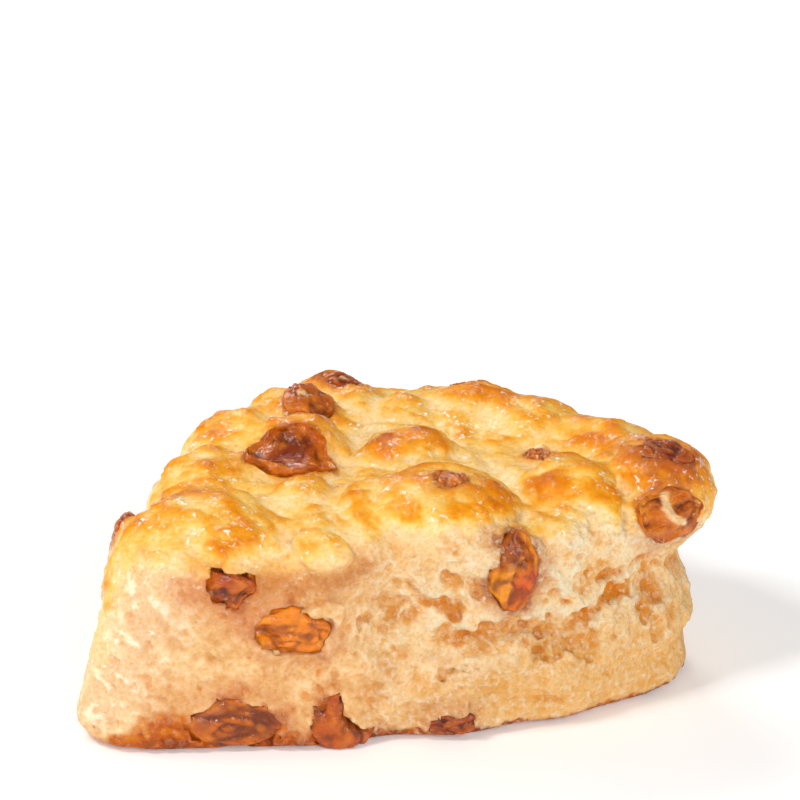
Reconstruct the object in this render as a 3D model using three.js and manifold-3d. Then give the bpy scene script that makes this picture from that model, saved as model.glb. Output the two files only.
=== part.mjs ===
// A triangular raisin scone, puffed and browned on top, with one side torn where it was pulled off another.
// Millimetres, +Z up. The scone stands on its flat underside at z = 0; the torn side is at the front right.

import * as THREE from "three";
import { mergeVertices } from "three/addons/utils/BufferGeometryUtils.js";
import Module from "manifold-3d";

const wasm = await Module();
wasm.setup();

// Driving dimensions of the wedge of dough.
const CRUMB_TOP = 34.5; // height of the dough between the mounds of its crust, away from the middle
const CRUMB_DOME = 1.5; // how much higher that is in the middle
const DOME_RADIUS = 50; // how far from the middle that is
const BASE_ROUND = 3; // rounding where the sides meet the underside
const TIP_BASE_ROUND = 4; // how much more that is at the tip
const TOP_ROUND = 7; // rounding where the sides meet the top
const LEFT_TOP_ROUND = 12; // the same on the smooth left side, which slumped while it baked
const BEND_ROUND = 3; // rounding where the torn side starts, at the bend in the front
const END_ROUND = 12; // rounding of the corner at the right end
const LEFT_ROUND = 9; // rounding of the tip and the rear corner at the table
const LEFT_ROUND_GROWTH = 0.35; // how much more that is for each millimetre of height
const TORN_STEP = 6; // how far the torn side is stepped out beyond the bend, so that it ends there
const STEP_WIDTH = 8; // width of that step
const STEP_WAVE = 2; // how far the step wanders to either side on its way up
const STEP_WAVE_HEIGHT = 7; // height over which it does so
const RAISIN_GAP = 0.3; // space left between a raisin and its pocket
const WRINKLE = 0.17; // how deep the wrinkles of a raisin are, as a share of its half size
const WRINKLE_GRAIN = 2.2; // how many of them there are across half a raisin
const MIDDLE = [0.57, 11.65]; // middle of the finished outline, which is moved over the origin

// The corners of the wedge where its sides would meet if they were not rounded. The torn side starts a
// little behind the bend where the smooth front ends.
const TIP = [-56, -32];
const FRONT_BEND = [-4, -29.5];
const TORN_START = [-4, -27.4];
const RIGHT_END = [53, -1];
const REAR = [-13, 59];

// Each side runs between two points: how far it bulges in the middle, how much it leans in for each
// millimetre of height, and how rough it is where it was torn.
const SIDES = [
  { from: TIP, to: FRONT_BEND, bulge: 1.2, lean: 0.03, torn: 0 },
  { from: TORN_START, to: RIGHT_END, bulge: 7.4, lean: 0, torn: 1 },
  { from: RIGHT_END, to: REAR, bulge: 12, lean: 0.04, torn: 0.35 },
  { from: REAR, to: TIP, bulge: 7, lean: 0.2, torn: 0 },
];

// Mounds of puffed crust: the middle, half the size along each axis, the turn about Z in degrees, and how
// far it runs into its neighbours at their crease.
const MOUNDS = [
  { at: [-31.6, -17, 27], half: [14.6, 13.2, 12], turn: 4, blend: 6 }, // left shoulder, front
  { at: [-31, 4, 27.5], half: [12, 13, 10.8], turn: 16, blend: 3 }, // left shoulder, middle
  { at: [-26.5, 21, 29.5], half: [11, 13.5, 10], turn: 22, blend: 3 }, // left shoulder, rear
  { at: [-15.5, -7.5, 30], half: [8.5, 10, 7.8], turn: 0, blend: 2 }, // plateau in front of the crown
  { at: [-12.2, -20.5, 33.2], half: [6.3, 10, 5.2], turn: 3, blend: 1 }, // tongue over the front
  { at: [-12, -27.6, 33.4], half: [6, 3.6, 3.8], turn: 4, blend: 1.5 }, // its lip
  { at: [-5.5, -15, 32.5], half: [6.5, 13, 7], turn: -4, blend: 2 }, // right of the tongue
  { at: [-16, 15.5, 34], half: [9, 5.5, 7.6], turn: 4, blend: 1.6 }, // roll behind the large raisin
  { at: [-18, 29, 30.5], half: [11, 9.5, 10], turn: 0, blend: 2 }, // behind the second raisin
  { at: [-12.5, 42, 30], half: [9, 8.5, 7.8], turn: 0, blend: 1.6 }, // rear knob
  { at: [-6.3, 34, 30.5], half: [6.5, 8.5, 7.4], turn: -6, blend: 1.6 },
  { at: [6.5, -12.5, 33.3], half: [15.5, 12.5, 8.8], turn: 4, blend: 1.2 }, // middle of the front
  { at: [2, 13, 30], half: [11, 11, 9.4], turn: 0, blend: 1.6 }, // middle
  { at: [0.8, 30.5, 30], half: [8.5, 9, 8], turn: 0, blend: 2 },
  { at: [14, 33.5, 30], half: [12.5, 9.5, 9.4], turn: -12, blend: 2 }, // rear
  { at: [24, 27.8, 29.5], half: [13, 10, 10], turn: -35, blend: 2 },
  { at: [35.5, 19, 29.4], half: [13, 10, 8.8], turn: -35, blend: 2 }, // rear right
  { at: [30, -3, 30.5], half: [10.5, 13, 9.4], turn: 10, blend: 1.2 }, // right of the valley
  { at: [42.6, 5.5, 31], half: [11.5, 14.5, 9.2], turn: -12, blend: 1.2 }, // right end
];

// Where the form changes along the scone: the right end, the soft left side, the front and the tip.
const END_START = 30;
const END_LENGTH = 18;
const LEFT_START = -22;
const LEFT_FADE = 20;
const FRONT_EDGE = -34;
const FRONT_FADE = 14;
const TIP_START = -40;
const TIP_LENGTH = 12;

// The torn side seen from its end: the height, width and depth of its belly, of the undercut below the
// crust, which dips towards the right end, and of the pinch above the base there.
const BELLY = { height: 13, width: 7, depth: 1.2 };
const UNDERCUT = { height: 24, dip: 3, width: 4.5, depth: 1.6 };
const PINCH = { height: 8.5, width: 2, depth: 1.6 };

// Unevenness: how wide its grains are, how thick in the layers of a torn side, and how deep. Lumps are
// deeper on the crust, which starts at a height and is full some millimetres above it.
const CRAGS = [
  { size: 9, layer: 6, depth: 1.1 },
  { size: 4.5, layer: 3.2, depth: 0.6 },
];
const SWELL = { size: 11, depth: 0.5 };
const LUMPS = { size: 5.5, depth: 0.2, onCrust: 0.5 };
const CRUST_START = 28;
const CRUST_FADE = 8;

// Creases of the crust, then hollows of the torn side: the ends of the line, its width and its depth.
const CREASES = [
  { from: [-2, 40, 38], to: [-6.5, 22, 39], width: 2.2, depth: 1.6 },
  { from: [-6.5, 22, 39], to: [-9, 2, 38], width: 2.2, depth: 1.6 },
  { from: [-10.8, -1, 38.5], to: [-10.6, -14, 39], width: 1.3, depth: 2.4 },
  { from: [-10.6, -14, 39], to: [-5.6, -28, 37], width: 1.5, depth: 1.2 },
  { from: [37, 10, 39], to: [38, -12, 33], width: 1.6, depth: 1 },
  { from: [3.9, -28, 13.6], to: [27, -21, 20.6], width: 2, depth: 1.6 },
  { from: [28.5, -20.5, 16], to: [31.5, -19, 14], width: 2.6, depth: 2 },
  { from: [39.5, -11.5, 25], to: [42.5, -8.5, 24.4], width: 2.2, depth: 1.6 },
];

// Raisins that show: the middle, half the size along each axis, the turns about X and Z in degrees, how
// much narrower the upper end is than the lower one, and how finely each one is faceted.
const RAISINS = {
  raisin_crown_large: { at: [-18.4, 6.6, 37.4], half: [8, 6.8, 4.2], tilt: 30, turn: -4, detail: 3 },
  raisin_crown_back: { at: [-15.4, 26.4, 39.2], half: [4.6, 4.8, 3.2], tilt: 24, turn: 10, detail: 2 },
  raisin_rear_knob: { at: [-10.5, 42.5, 36.4], half: [3.8, 3.4, 2.4], tilt: 0, turn: -15, detail: 2 },
  raisin_left_edge: { at: [-44.8, -12, 29.4], half: [2.6, 4.6, 5], tilt: 24, turn: 20, detail: 2 },
  raisin_left_face_dark: { at: [-27.4, -29, 29.6], half: [5, 3.8, 4.2], tilt: -12, turn: 8, detail: 2 },
  raisin_left_face_gold: { at: [-18.4, -29, 21.6], half: [8, 3.4, 5], tilt: 0, turn: -4, detail: 2 },
  raisin_left_base: { at: [-27, -28.8, 5.2], half: [9, 4.4, 5.2], tilt: 0, turn: 4, detail: 2 },
  raisin_front_base: { at: [-9.8, -27.8, 5.6], half: [5.2, 4, 7], tilt: 0, turn: 0, taper: 0.4, detail: 2 },
  raisin_torn_amber: { at: [18.6, -22.4, 28.8], half: [4.6, 3.2, 6.6], tilt: -6, turn: 20, detail: 3 },
  raisin_torn_base: { at: [9.2, -25.6, 3.2], half: [4.4, 2.8, 2.8], tilt: 0, turn: 5, detail: 2 },
  raisin_right_end: { at: [45.6, -7.4, 32.2], half: [6.8, 3.8, 4.6], tilt: 8, turn: 30, detail: 2 },
  raisin_right_crown: { at: [44.5, 3.6, 38.4], half: [5.6, 5, 2.6], tilt: 0, turn: -20, detail: 2 },
  raisin_valley: { at: [24.2, 11, 36], half: [2.4, 3.4, 2.4], tilt: 20, turn: 10, detail: 2 },
  raisin_front_mound: { at: [8.6, -14.4, 40.8], half: [3.2, 2.8, 2], tilt: 10, turn: -8, detail: 2 },
  raisin_rear_right: { at: [12.5, 38.5, 37], half: [3.8, 3.2, 2.2], tilt: 0, turn: 15, detail: 2 },
  raisin_back_upper: { at: [31, 38.2, 25], half: [5.6, 3.4, 4.2], tilt: 0, turn: -42, detail: 2 },
  raisin_back_lower: { at: [9, 50.2, 12], half: [5, 3.2, 4], tilt: 0, turn: -20, detail: 2 },
  raisin_left_back: { at: [-38, 26, 18], half: [3.2, 6, 4.2], tilt: 8, turn: 20, detail: 2 },
};

// Raisins cut through or soaked pale, which look amber instead of brown.
const AMBER_RAISINS = ["raisin_left_face_gold", "raisin_torn_amber"];

const DOUGH_DETAIL = 17; // an icosahedron's faces are each divided this many times
const CORE_HEIGHT = 18; // height of the flat core from which lines run out to the surface
const CORE_SWELL = 4; // half thickness of that core
const CORE_REACH = 0.6; // how far out it goes, as a share of the wedge's own reach
const SEARCH_STEP = 0.8; // step along a line while it is looked at where it leaves the dough
const SEARCH_HALVINGS = 24; // how often the last step is then halved
const FLUSH = 0.02; // what lies this close to the underside is put on it
const TABLE = [200, 200, 20]; // slab that cuts the raisins off at the underside

const clamp = THREE.MathUtils.clamp;
const degrees = THREE.MathUtils.degToRad;

// The higher and the lower of two distances, rounded over a width where they meet.
function roundMax(a, b, width) {
  const h = Math.max(width - Math.abs(a - b), 0) / width;
  return Math.max(a, b) + (h * h * width) / 4;
}

function roundMin(a, b, width) {
  return -roundMax(-a, -b, width);
}

// A hump of height 1 at the middle, falling to nothing at about twice the width.
function hump(value, middle, width) {
  return Math.exp(-(((value - middle) / width) ** 2));
}

// A repeatable number from 0 to 1 for each corner of a grid.
function cornerValue(i, j, k) {
  const s = Math.sin(i * 127.1 + j * 311.7 + k * 74.7) * 43758.5453;
  return s - Math.floor(s);
}

// Smooth noise from -1 to 1 with grains one unit across.
function noise(x, y, z) {
  const cell = [x, y, z].map(Math.floor);
  const part = [x - cell[0], y - cell[1], z - cell[2]].map((t) => t * t * (3 - 2 * t));
  let sum = 0;
  for (let corner = 0; corner < 8; corner++) {
    const step = [corner & 1, (corner >> 1) & 1, corner >> 2];
    const weight = step.reduce((w, s, a) => w * (s ? part[a] : 1 - part[a]), 1);
    sum += weight * cornerValue(cell[0] + step[0], cell[1] + step[1], cell[2] + step[2]);
  }
  return 2 * sum - 1;
}

// Distance outside a side that is smooth: its chord, bulged as a parabola between its ends.
function sideDistance({ from, to, bulge, lean }, x, y, z) {
  const [dx, dy] = [to[0] - from[0], to[1] - from[1]];
  const chord = Math.hypot(dx, dy);
  const along = ((x - from[0]) * dx + (y - from[1]) * dy) / (chord * chord);
  const outside = ((x - from[0]) * dy - (y - from[1]) * dx) / chord;
  return outside - bulge * Math.max(4 * along * (1 - along), 0) + lean * z;
}

// How far a torn side stands out at a height: full in the middle, hollow under the crust and, towards the
// right end, hollower still and pinched above the base.
function tornSwell(x, z) {
  const end = clamp((x - END_START) / END_LENGTH, 0, 1);
  const full = BELLY.depth * hump(z, BELLY.height, BELLY.width);
  const height = UNDERCUT.height - UNDERCUT.dip * end;
  const hollow = UNDERCUT.depth * (1 + end) * hump(z, height, UNDERCUT.width);
  const pinch = PINCH.depth * end * hump(z, PINCH.height, PINCH.width);
  return full - hollow - pinch;
}

// Crags of a torn side, in flat layers.
function crags(x, y, z) {
  const [wide, narrow] = CRAGS;
  const coarse = noise(x / wide.size, y / wide.size, z / wide.layer);
  const fine = noise(x / narrow.size + 20, y / narrow.size, z / narrow.layer);
  return wide.depth * coarse + narrow.depth * fine;
}

// Distance outside the sides of the wedge.
function sidesDistance(x, y, z) {
  const [front, torn, right, left] = SIDES.map((side) => {
    const relief = side.torn * (tornSwell(x, z) + crags(x, y, z));
    return sideDistance(side, x, y, z) - relief;
  });
  const edge = TORN_START[0] + STEP_WAVE * noise(z / STEP_WAVE_HEIGHT, 3, 0);
  const step = TORN_STEP * clamp((edge - x) / STEP_WIDTH, 0, 1);
  const bend = roundMax(front, torn - step, BEND_ROUND);
  const end = roundMax(bend, right, END_ROUND);
  return roundMax(end, left, LEFT_ROUND + LEFT_ROUND_GROWTH * z);
}

// Distance outside one mound of crust.
function moundDistance({ at, half, turn }, x, y, z) {
  const [c, s] = [Math.cos(degrees(turn)), Math.sin(degrees(turn))];
  const [dx, dy] = [x - at[0], y - at[1]];
  const local = [(c * dx + s * dy) / half[0], (c * dy - s * dx) / half[1], (z - at[2]) / half[2]];
  const size = Math.hypot(...local);
  const slope = Math.hypot(local[0] / half[0], local[1] / half[1], local[2] / half[2]);
  return slope > 0 ? (size * (size - 1)) / slope : -Math.min(...half);
}

// Soft unevenness of the whole dough, more on the crust than on the smooth sides.
function unevenness(x, y, z) {
  const crust = clamp((z - CRUST_START) / CRUST_FADE, 0, 1);
  const swell = noise(x / SWELL.size + 5, y / SWELL.size, z / SWELL.size);
  const lumps = noise(x / LUMPS.size, y / LUMPS.size + 9, z / LUMPS.size);
  return SWELL.depth * swell + (LUMPS.depth + LUMPS.onCrust * crust) * lumps;
}

// How deep the creases are at a point.
function creaseDepth(x, y, z) {
  let sum = 0;
  for (const { from, to, width, depth } of CREASES) {
    const start = new THREE.Vector3(...from);
    const line = new THREE.Line3(start, new THREE.Vector3(...to));
    const point = new THREE.Vector3(x, y, z);
    const nearest = line.closestPointToPoint(point, true, new THREE.Vector3());
    sum += depth * hump(nearest.distanceTo(point), 0, width);
  }
  return sum;
}

// Distance outside the whole dough: the wedge, then the mounds on it, then the flat underside.
function doughDistance(x, y, z) {
  const top = z - CRUMB_TOP - CRUMB_DOME * (1 - (x * x + y * y) / DOME_RADIUS ** 2);
  const leftward = clamp((LEFT_START - x) / LEFT_FADE, 0, 1);
  const soft = leftward * clamp((y - FRONT_EDGE) / FRONT_FADE, 0, 1);
  const round = TOP_ROUND + (LEFT_TOP_ROUND - TOP_ROUND) * soft;
  let distance = roundMax(sidesDistance(x, y, z), top, round);
  for (const mound of MOUNDS) {
    distance = roundMin(distance, moundDistance(mound, x, y, z), mound.blend);
  }
  distance += creaseDepth(x, y, z) - unevenness(x, y, z);
  const tip = clamp((TIP_START - x) / TIP_LENGTH, 0, 1);
  return roundMax(distance, -z, BASE_ROUND + TIP_BASE_ROUND * tip);
}

// Where a line from inside the dough first comes out of it.
function surfaceAlong(start, direction) {
  const distanceAt = (t) =>
    doughDistance(start.x + direction.x * t, start.y + direction.y * t, start.z + direction.z * t);
  let far = 0;
  while (distanceAt(far) < 0) {
    far += SEARCH_STEP;
  }
  let near = Math.max(far - SEARCH_STEP, 0);
  for (let i = 0; i < SEARCH_HALVINGS; i++) {
    const middle = (near + far) / 2;
    if (distanceAt(middle) < 0) near = middle;
    else far = middle;
  }
  return start.clone().addScaledVector(direction, far);
}

// How far out in a direction of the plan the lines to the surface start.
function coreReach(direction) {
  const across = Math.hypot(direction.x, direction.y);
  if (across < 1e-9) return 0;
  let reach = 0;
  const [dx, dy] = [direction.x / across, direction.y / across];
  while (sidesDistance(dx * reach, dy * reach, CORE_HEIGHT) < -1) {
    reach += 1;
  }
  return reach * CORE_REACH;
}

// A geometry with positions only and its equal corners merged, as a solid needs it.
function closed(geometry) {
  geometry.deleteAttribute("normal");
  geometry.deleteAttribute("uv");
  return mergeVertices(geometry, 1e-4);
}

// The dough: a ball whose points are pushed out to the surface.
function doughGeometry() {
  const geometry = closed(new THREE.IcosahedronGeometry(1, DOUGH_DETAIL));
  const position = geometry.getAttribute("position");
  const direction = new THREE.Vector3();
  for (let i = 0; i < position.count; i++) {
    direction.fromBufferAttribute(position, i).normalize();
    const reach = coreReach(direction);
    const height = CORE_HEIGHT + CORE_SWELL * direction.z;
    const start = new THREE.Vector3(direction.x * reach, direction.y * reach, height);
    const point = surfaceAlong(start, direction);
    position.setXYZ(i, point.x, point.y, point.z < FLUSH ? 0 : point.z);
  }
  return geometry;
}

// A raisin: a plump ball with wrinkles, grown by a margin for its pocket.
function raisinGeometry({ at, half, tilt, turn, taper = 0, detail }, margin) {
  const geometry = closed(new THREE.IcosahedronGeometry(1, detail));
  const position = geometry.getAttribute("position");
  const point = new THREE.Vector3();
  const place = new THREE.Matrix4()
    .makeRotationFromEuler(new THREE.Euler(degrees(tilt), 0, degrees(turn), "ZXY"))
    .setPosition(at[0], at[1], at[2]);
  for (let i = 0; i < position.count; i++) {
    point.fromBufferAttribute(position, i).normalize();
    const grain = point.clone().multiplyScalar(WRINKLE_GRAIN);
    const wrinkle = noise(grain.x + at[0], grain.y + at[1], grain.z + at[2]);
    const size = 1 + WRINKLE * wrinkle;
    point.set(
      point.x * (half[0] * size * (1 - taper * point.z) + margin),
      point.y * (half[1] * size + margin),
      point.z * (half[2] * size + margin),
    );
    point.applyMatrix4(place);
    position.setXYZ(i, point.x, point.y, point.z);
  }
  return geometry;
}

function solidOf(geometry) {
  return new wasm.Manifold(
    new wasm.Mesh({
      numProp: 3,
      vertProperties: geometry.getAttribute("position").array,
      triVerts: new Uint32Array(geometry.index.array),
    }),
  );
}

function geometryOf(solid) {
  const mesh = solid.getMesh();
  const geometry = new THREE.BufferGeometry();
  geometry.setAttribute("position", new THREE.BufferAttribute(mesh.vertProperties, 3));
  geometry.setIndex(new THREE.BufferAttribute(mesh.triVerts, 1));
  geometry.translate(-MIDDLE[0], -MIDDLE[1], 0);
  geometry.computeVertexNormals();
  return geometry;
}

const doughMaterial = new THREE.MeshStandardMaterial({ color: 0xe8b25a, roughness: 0.6, metalness: 0 });
const raisinMaterial = new THREE.MeshStandardMaterial({ color: 0x94401f, roughness: 0.35, metalness: 0 });
const amberMaterial = new THREE.MeshStandardMaterial({ color: 0xc86a1c, roughness: 0.3, metalness: 0 });

const scone = new THREE.Group();
const slab = new THREE.BoxGeometry(...TABLE);
slab.translate(0, 0, FLUSH - TABLE[2] / 2);
const belowTable = solidOf(closed(slab));

let dough = solidOf(doughGeometry());
for (const [name, raisin] of Object.entries(RAISINS)) {
  dough = dough.subtract(solidOf(raisinGeometry(raisin, RAISIN_GAP)));
  const above = solidOf(raisinGeometry(raisin, 0)).subtract(belowTable);
  const material = AMBER_RAISINS.includes(name) ? amberMaterial : raisinMaterial;
  const mesh = new THREE.Mesh(geometryOf(above), material);
  mesh.name = name;
  scone.add(mesh);
}

const doughMesh = new THREE.Mesh(geometryOf(dough), doughMaterial);
doughMesh.name = "dough";
scone.add(doughMesh);

export default scone;
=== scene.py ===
import math

import bmesh
import bpy
import numpy as np
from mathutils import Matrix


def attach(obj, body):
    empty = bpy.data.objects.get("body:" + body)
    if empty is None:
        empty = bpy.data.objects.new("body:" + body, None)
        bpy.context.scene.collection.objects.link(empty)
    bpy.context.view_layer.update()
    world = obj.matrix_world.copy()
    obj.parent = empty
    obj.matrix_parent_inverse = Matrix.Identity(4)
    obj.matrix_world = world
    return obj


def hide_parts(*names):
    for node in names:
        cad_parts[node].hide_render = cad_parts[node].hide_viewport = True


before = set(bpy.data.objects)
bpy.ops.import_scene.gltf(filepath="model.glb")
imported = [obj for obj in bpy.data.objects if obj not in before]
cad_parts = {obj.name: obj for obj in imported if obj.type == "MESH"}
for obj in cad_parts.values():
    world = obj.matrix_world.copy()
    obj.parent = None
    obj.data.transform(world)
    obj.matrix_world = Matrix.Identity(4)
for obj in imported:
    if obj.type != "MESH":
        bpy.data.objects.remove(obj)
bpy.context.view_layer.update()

# A raisin scone: a wedge of dough and eighteen raisins. Sizes are in millimetres in the
# frame the photograph was measured in, and MIDDLE shifts it to the frame of the solids.
MM = 0.001
MIDDLE = np.array([0.57, 11.65, 0.0])
VIEW_WAY = np.array([0, 0.93127871, -0.36430752])       # the way the photo's camera looks

# The form of the dough.
CRUMB_TOP = 34.5
CRUMB_DOME = 1.5
BASE_ROUND = 3.0
TIP_BASE_ROUND = 4.0
TOP_ROUND = 7.0
LEFT_TOP_ROUND = 12.0
BEND_ROUND = 3.0
END_ROUND = 12.0
LEFT_ROUND = 9.0
LEFT_ROUND_GROWTH = 0.35
TORN_STEP = 6.0
STEP_WIDTH = 8.0
STEP_WAVE = 2.0
WRINKLE = 0.17

TIP = (-56.0, -32.0)
FRONT_BEND = (-4.0, -29.5)
TORN_START = (-4.0, -27.4)
RIGHT_END = (53.0, -1.0)
REAR = (-13.0, 59.0)

# from, to, bulge, lean for each millimetre of height, how torn
SIDES = [
    (TIP, FRONT_BEND, 1.2, 0.03, 0.0),
    (TORN_START, RIGHT_END, 7.4, 0.0, 1.0),
    (RIGHT_END, REAR, 12.0, 0.04, 0.35),
    (REAR, TIP, 7.0, 0.2, 0.0),
]

# middle, half sizes, turn about the upright, how softly it joins
MOUNDS = [
    ((-31.6, -17, 27), (14.6, 13.2, 12), 4, 6),
    ((-31, 4, 27.5), (12, 13, 10.8), 16, 3),
    ((-26.5, 21, 29.5), (11, 13.5, 10), 22, 3),
    ((-15.5, -7.5, 30), (8.5, 10, 7.8), 0, 2),
    ((-12.2, -20.5, 33.2), (6.3, 10, 5.2), 3, 1),
    ((-12, -27.6, 33.4), (6, 3.6, 3.8), 4, 1.5),
    ((-5.5, -15, 32.5), (6.5, 13, 7), -4, 2),
    ((-16, 15.5, 34), (9, 5.5, 7.6), 4, 1.6),
    ((-18, 29, 30.5), (11, 9.5, 10), 0, 2),
    ((-12.5, 42, 30), (9, 8.5, 7.8), 0, 1.6),
    ((-6.3, 34, 30.5), (6.5, 8.5, 7.4), -6, 1.6),
    ((6.5, -12.5, 33.3), (15.5, 12.5, 8.8), 4, 1.2),
    ((2, 13, 30), (11, 11, 9.4), 0, 1.6),
    ((0.8, 30.5, 30), (8.5, 9, 8), 0, 2),
    ((14, 33.5, 30), (12.5, 9.5, 9.4), -12, 2),
    ((24, 27.8, 29.5), (13, 10, 10), -35, 2),
    ((35.5, 19, 29.4), (13, 10, 8.8), -35, 2),
    ((30, -3, 30.5), (10.5, 13, 9.4), 10, 1.2),
    ((42.6, 5.5, 31), (11.5, 14.5, 9.2), -12, 1.2),
]

# the folds that the solid has too: from, to, width, depth
CREASES = [
    ((-2, 40, 38), (-6.5, 22, 39), 2.2, 1.6),
    ((-6.5, 22, 39), (-9, 2, 38), 2.2, 1.6),
    ((-10.8, -1, 38.5), (-10.6, -14, 39), 1.3, 2.4),
    ((-10.6, -14, 39), (-5.6, -28, 37), 1.5, 1.2),
    ((37, 10, 39), (38, -12, 33), 1.6, 1),
    ((3.9, -28, 13.6), (27, -21, 20.6), 2, 1.6),
    ((28.5, -20.5, 16), (31.5, -19, 14), 2.6, 2),
    ((39.5, -11.5, 25), (42.5, -8.5, 24.4), 2.2, 1.6),
]

# narrow folds of the crust, as chains of points: points, width, depth
CRUST_FOLDS = [
    ([(-1.2, 41.2, 34.8), (-4.9, 28.2, 35.9), (-6.4, 20, 35.6)], 0.9, 0.8),
    ([(-6.4, 20, 35.6), (-8.1, 10, 35.4), (-10.5, 2.1, 35.6)], 0.9, 0.8),
    ([(-11.7, 0.2, 35.9), (-11.4, -8, 37), (-11.4, -17, 37.4)], 0.8, 1.3),
    ([(-11.4, -19.6, 38), (-10.3, -24.3, 37.6), (-6.9, -27.2, 35.9), (-5.7, -28.7, 32.6)], 1.0, 1.7),
    ([(-18, -22, 35.7), (-17.3, -29.2, 35.2), (-15.6, -30.8, 32.7)], 1.1, 1.6),
    ([(-28, -4.3, 36.1), (-22.5, -12.4, 37), (-18.9, -15.5, 36.2)], 1.2, 0.6),
    ([(-33.2, -1.8, 37.8), (-25.7, -0.2, 36.6), (-16.3, 0.4, 36)], 1.0, 0.6),
    ([(-4.5, -16.6, 39.9), (-4, -24, 36.6)], 1.0, 0.6),
    ([(-2.1, 5, 36.3), (4, 5.9, 37.3), (9.2, 8.4, 36.6)], 1.0, 0.8),
    ([(9.8, 17.3, 35.8), (7.5, 24, 35.9)], 1.1, 0.8),
    ([(12.8, 29.2, 38.7), (14.5, 17.3, 35.8), (17.4, 0.1, 35.6), (20.2, -16.5, 36.1)], 1.8, 0.8),
    ([(22.4, -1.9, 38.1), (33.3, 14.4, 36.4)], 1.2, 0.7),
    ([(38.6, 8, 38.4), (38.2, -5.2, 35.9)], 0.9, 0.8),
    ([(5.8, 35.3, 37.4), (6.8, 29.8, 37)], 1.1, 0.7),
]

# hollows with torn edges, mostly of the torn side, as chains of points: points, width, depth
HOLLOWS = [
    ([(-2.0, -25.8, 25.0), (-0.8, -25.6, 23.3)], 0.9, 1.7),
    ([(2.2, -25.4, 22.2), (3.6, -25.4, 22.6)], 0.9, 1.6),
    ([(7.6, -25.1, 23.9), (9.2, -24.9, 22.6)], 1.1, 2.2),
    ([(2.2, -25.6, 28.4), (3.1, -25.4, 25.4)], 0.8, 1.4),
    ([(4.2, -25.2, 24.4), (5.6, -25.2, 23.8)], 0.9, 1.8),
    ([(8.7, -25.2, 29.0), (10.3, -25.0, 26.8)], 0.9, 1.4),
    ([(-4.8, -26.6, 22.6), (-4.4, -26.6, 21.4)], 0.6, 1.3),
    ([(12.8, -24.8, 27.6), (13.2, -24.8, 25.4)], 0.7, 1.2),
    ([(-6.2, -27.4, 22.2), (-6.0, -27.6, 20.2)], 0.5, 1.1),
    ([(8, -25.8, 18.3), (17.7, -24, 19.2), (23, -21.7, 18.3)], 1.2, 1.3),
    ([(23, -21.7, 18.3), (27.4, -19.6, 16.6), (32.1, -17.3, 18.6)], 1.2, 1.3),
    ([(32.1, -17.3, 18.6), (34.4, -15.4, 20.2), (37.6, -12.2, 21.2)], 1.1, 1.5),
    ([(24.5, -23, 15.1), (27.9, -19.8, 14.8), (31.4, -18.1, 14.4)], 1.6, 1.5),
    ([(31.6, -18.2, 17), (32.6, -18.4, 14.4), (32.2, -18.7, 11.8)], 0.45, 1.8),
    ([(25.4, -22.4, 13.4), (29, -20.4, 12.2), (32.2, -19, 11.4)], 0.45, 1.3),
    ([(41.6, -8.3, 21.2), (43.4, -8.6, 18.6), (41.9, -11.7, 17)], 1.3, 1.4),
    ([(43.4, -11.7, 13.4), (46.4, -8.8, 14.6)], 1.5, 1.2),
    ([(34.4, -14.9, 24.6), (36.6, -13, 24.6)], 0.8, 1.5),
    ([(6.9, -27, 12.3), (9.6, -26.4, 13.3), (13, -26.5, 13.4)], 0.5, 1.5),
    ([(0.4, -28.3, 11.1), (5.9, -27.8, 10.3)], 1.2, 0.8),
    ([(15.3, -25.5, 8.1), (20.4, -23.8, 6.4), (27.9, -21.6, 4.8)], 0.45, 0.8),
    ([(12.6, -26, 9.6), (18.6, -24.4, 8.8)], 0.4, 0.6),
    ([(23.2, -21.4, 8), (29, -20.2, 8.4)], 0.4, 0.6),
    ([(-22.8, -31.2, 20), (-21.6, -31, 19)], 0.8, 1.5),
    ([(-9.8, -30.4, 13.8), (-9.4, -30.2, 11.4)], 0.5, 1.4),
    ([(-31, -31.6, 17.6), (-30.4, -31.6, 16.2)], 0.5, 0.7),
    ([(-38, -31.6, 15.2), (-37.4, -31.6, 14.6)], 0.5, 0.7),
    ([(-17, -31.4, 31.6), (-13, -32.2, 30.8), (-8.4, -31, 31.2), (-5.6, -29, 32.4)], 1.3, 2.2),
]

# raised lips and webs of the torn side, as chains of points: points, width, height
LIPS = [
    ([(5.9, -25.7, 20.2), (11.6, -25.2, 21), (17.7, -24.3, 21.6)], 1.0, 1.0),
    ([(17.7, -24.3, 21.6), (23.8, -21.4, 20.9), (28, -19, 20.2)], 1.0, 1.0),
    ([(28, -19, 20.2), (31.6, -17, 21.4), (34, -15.4, 23)], 1.0, 1.1),
    ([(34, -15.4, 23), (37, -12.8, 23.6), (40.8, -8.6, 24.2)], 1.0, 1.1),
    ([(6.4, -26.9, 14), (9.6, -26.1, 15.2), (13, -26.8, 14.8)], 1.2, 0.9),
    ([(13, -26.8, 14.8), (16, -26.2, 14.6), (19.6, -24.8, 12.6)], 1.2, 0.9),
    ([(29.4, -19.6, 17.2), (30, -19.2, 15.4)], 0.7, 1.1),
    ([(38.4, -12, 18.6), (39.6, -11.6, 15.4), (41.4, -12, 14.4)], 1.2, 0.6),
    ([(24.6, -22, 30.4), (26.4, -20.4, 26.6), (27.4, -19.8, 24)], 0.8, 0.6),
    ([(28.8, -19.4, 30.8), (29.8, -18.4, 27.4)], 0.7, 0.5),
    ([(2.4, -25, 31.2), (3.6, -25.2, 28.2)], 1.2, 0.8),
]

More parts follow.
